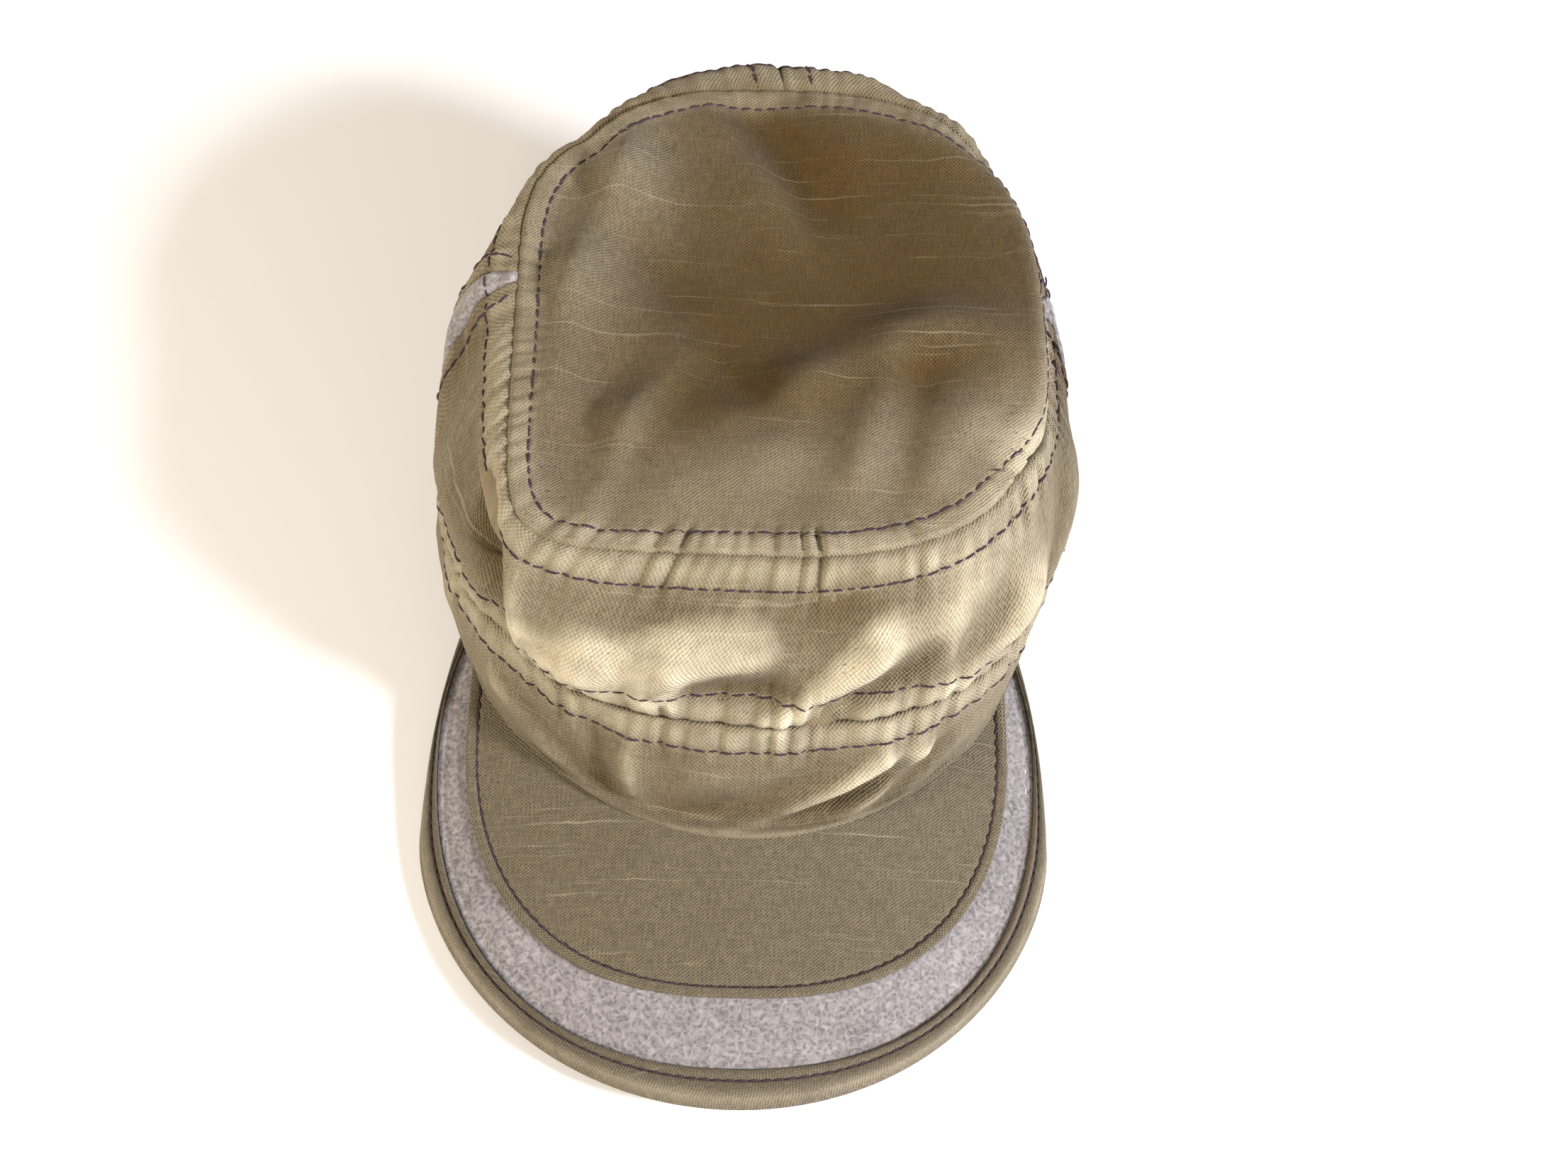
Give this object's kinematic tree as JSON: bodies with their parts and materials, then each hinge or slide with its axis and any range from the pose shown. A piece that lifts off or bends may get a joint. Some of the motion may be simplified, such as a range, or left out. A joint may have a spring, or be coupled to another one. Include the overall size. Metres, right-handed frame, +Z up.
{
  "type": "military peaked cap",
  "caption": "Soft peaked field cap with a flat-topped crown, suede side wedges, a suede-banded visor and an adjustable strap at the back.",
  "frame": {"origin": "centre of the head opening, on the plane that the cap rests on", "axes": "+Z up, the visor towards -Y, +X to the right as seen from above with the visor at the bottom"},
  "size_m": [0.1851, 0.298, 0.0833],
  "materials": {
    "crown_cloth": "washed plain-weave slub cotton, matte",
    "visor_cloth": "washed plain-weave slub cotton, matte",
    "grey_suede": "napped synthetic suede, matte",
    "seam_tape": "cotton herringbone tape",
    "sweatband_cloth": "cotton twill",
    "label_ribbon": "blank satin ribbon",
    "visor_board": "polyethylene sheet",
    "brass": "antique brass"
  },
  "bodies": {
    "crown": {"crown_top_panel": "crown_cloth", "front_upper_panel": "crown_cloth", "back_upper_panel_left": "crown_cloth", "back_upper_panel_right": "crown_cloth", "side_suede_insert_left": "grey_suede", "side_suede_insert_right": "grey_suede", "front_lower_band": "crown_cloth", "back_lower_band_left": "crown_cloth", "back_lower_band_right": "crown_cloth", "top_seam_tape": "seam_tape", "middle_seam_tape": "seam_tape", "centre_back_seam_tape": "seam_tape", "sweatband": "sweatband_cloth", "size_label": "label_ribbon", "back_opening_binding": "visor_cloth", "visor_board": "visor_board", "visor_under_cover": "visor_cloth", "visor_top_panel": "visor_cloth", "visor_suede_band": "grey_suede", "visor_panel_piping": "visor_cloth", "visor_edge_binding": "visor_cloth", "clasp_anchor_loop": "visor_cloth", "clasp_frame": "brass", "clasp_hinge_pin": "brass"},
    "strap": {"adjuster_strap": "visor_cloth"},
    "lever": {"clasp_lever": "brass"}
  },
  "joints": [
    {"name": "strap_adjust", "type": "hinge", "parent": "crown", "child": "strap", "pos_m": [0, 0.0127, 0.012], "axis": [0, 0, 1], "range_deg": [-7.8, 7.8]},
    {"name": "clasp_flip", "type": "hinge", "parent": "crown", "child": "lever", "pos_m": [-0.01282, 0.10319, 0.012], "axis": [0, 0, -1], "range_deg": [0, 110]}
  ]
}
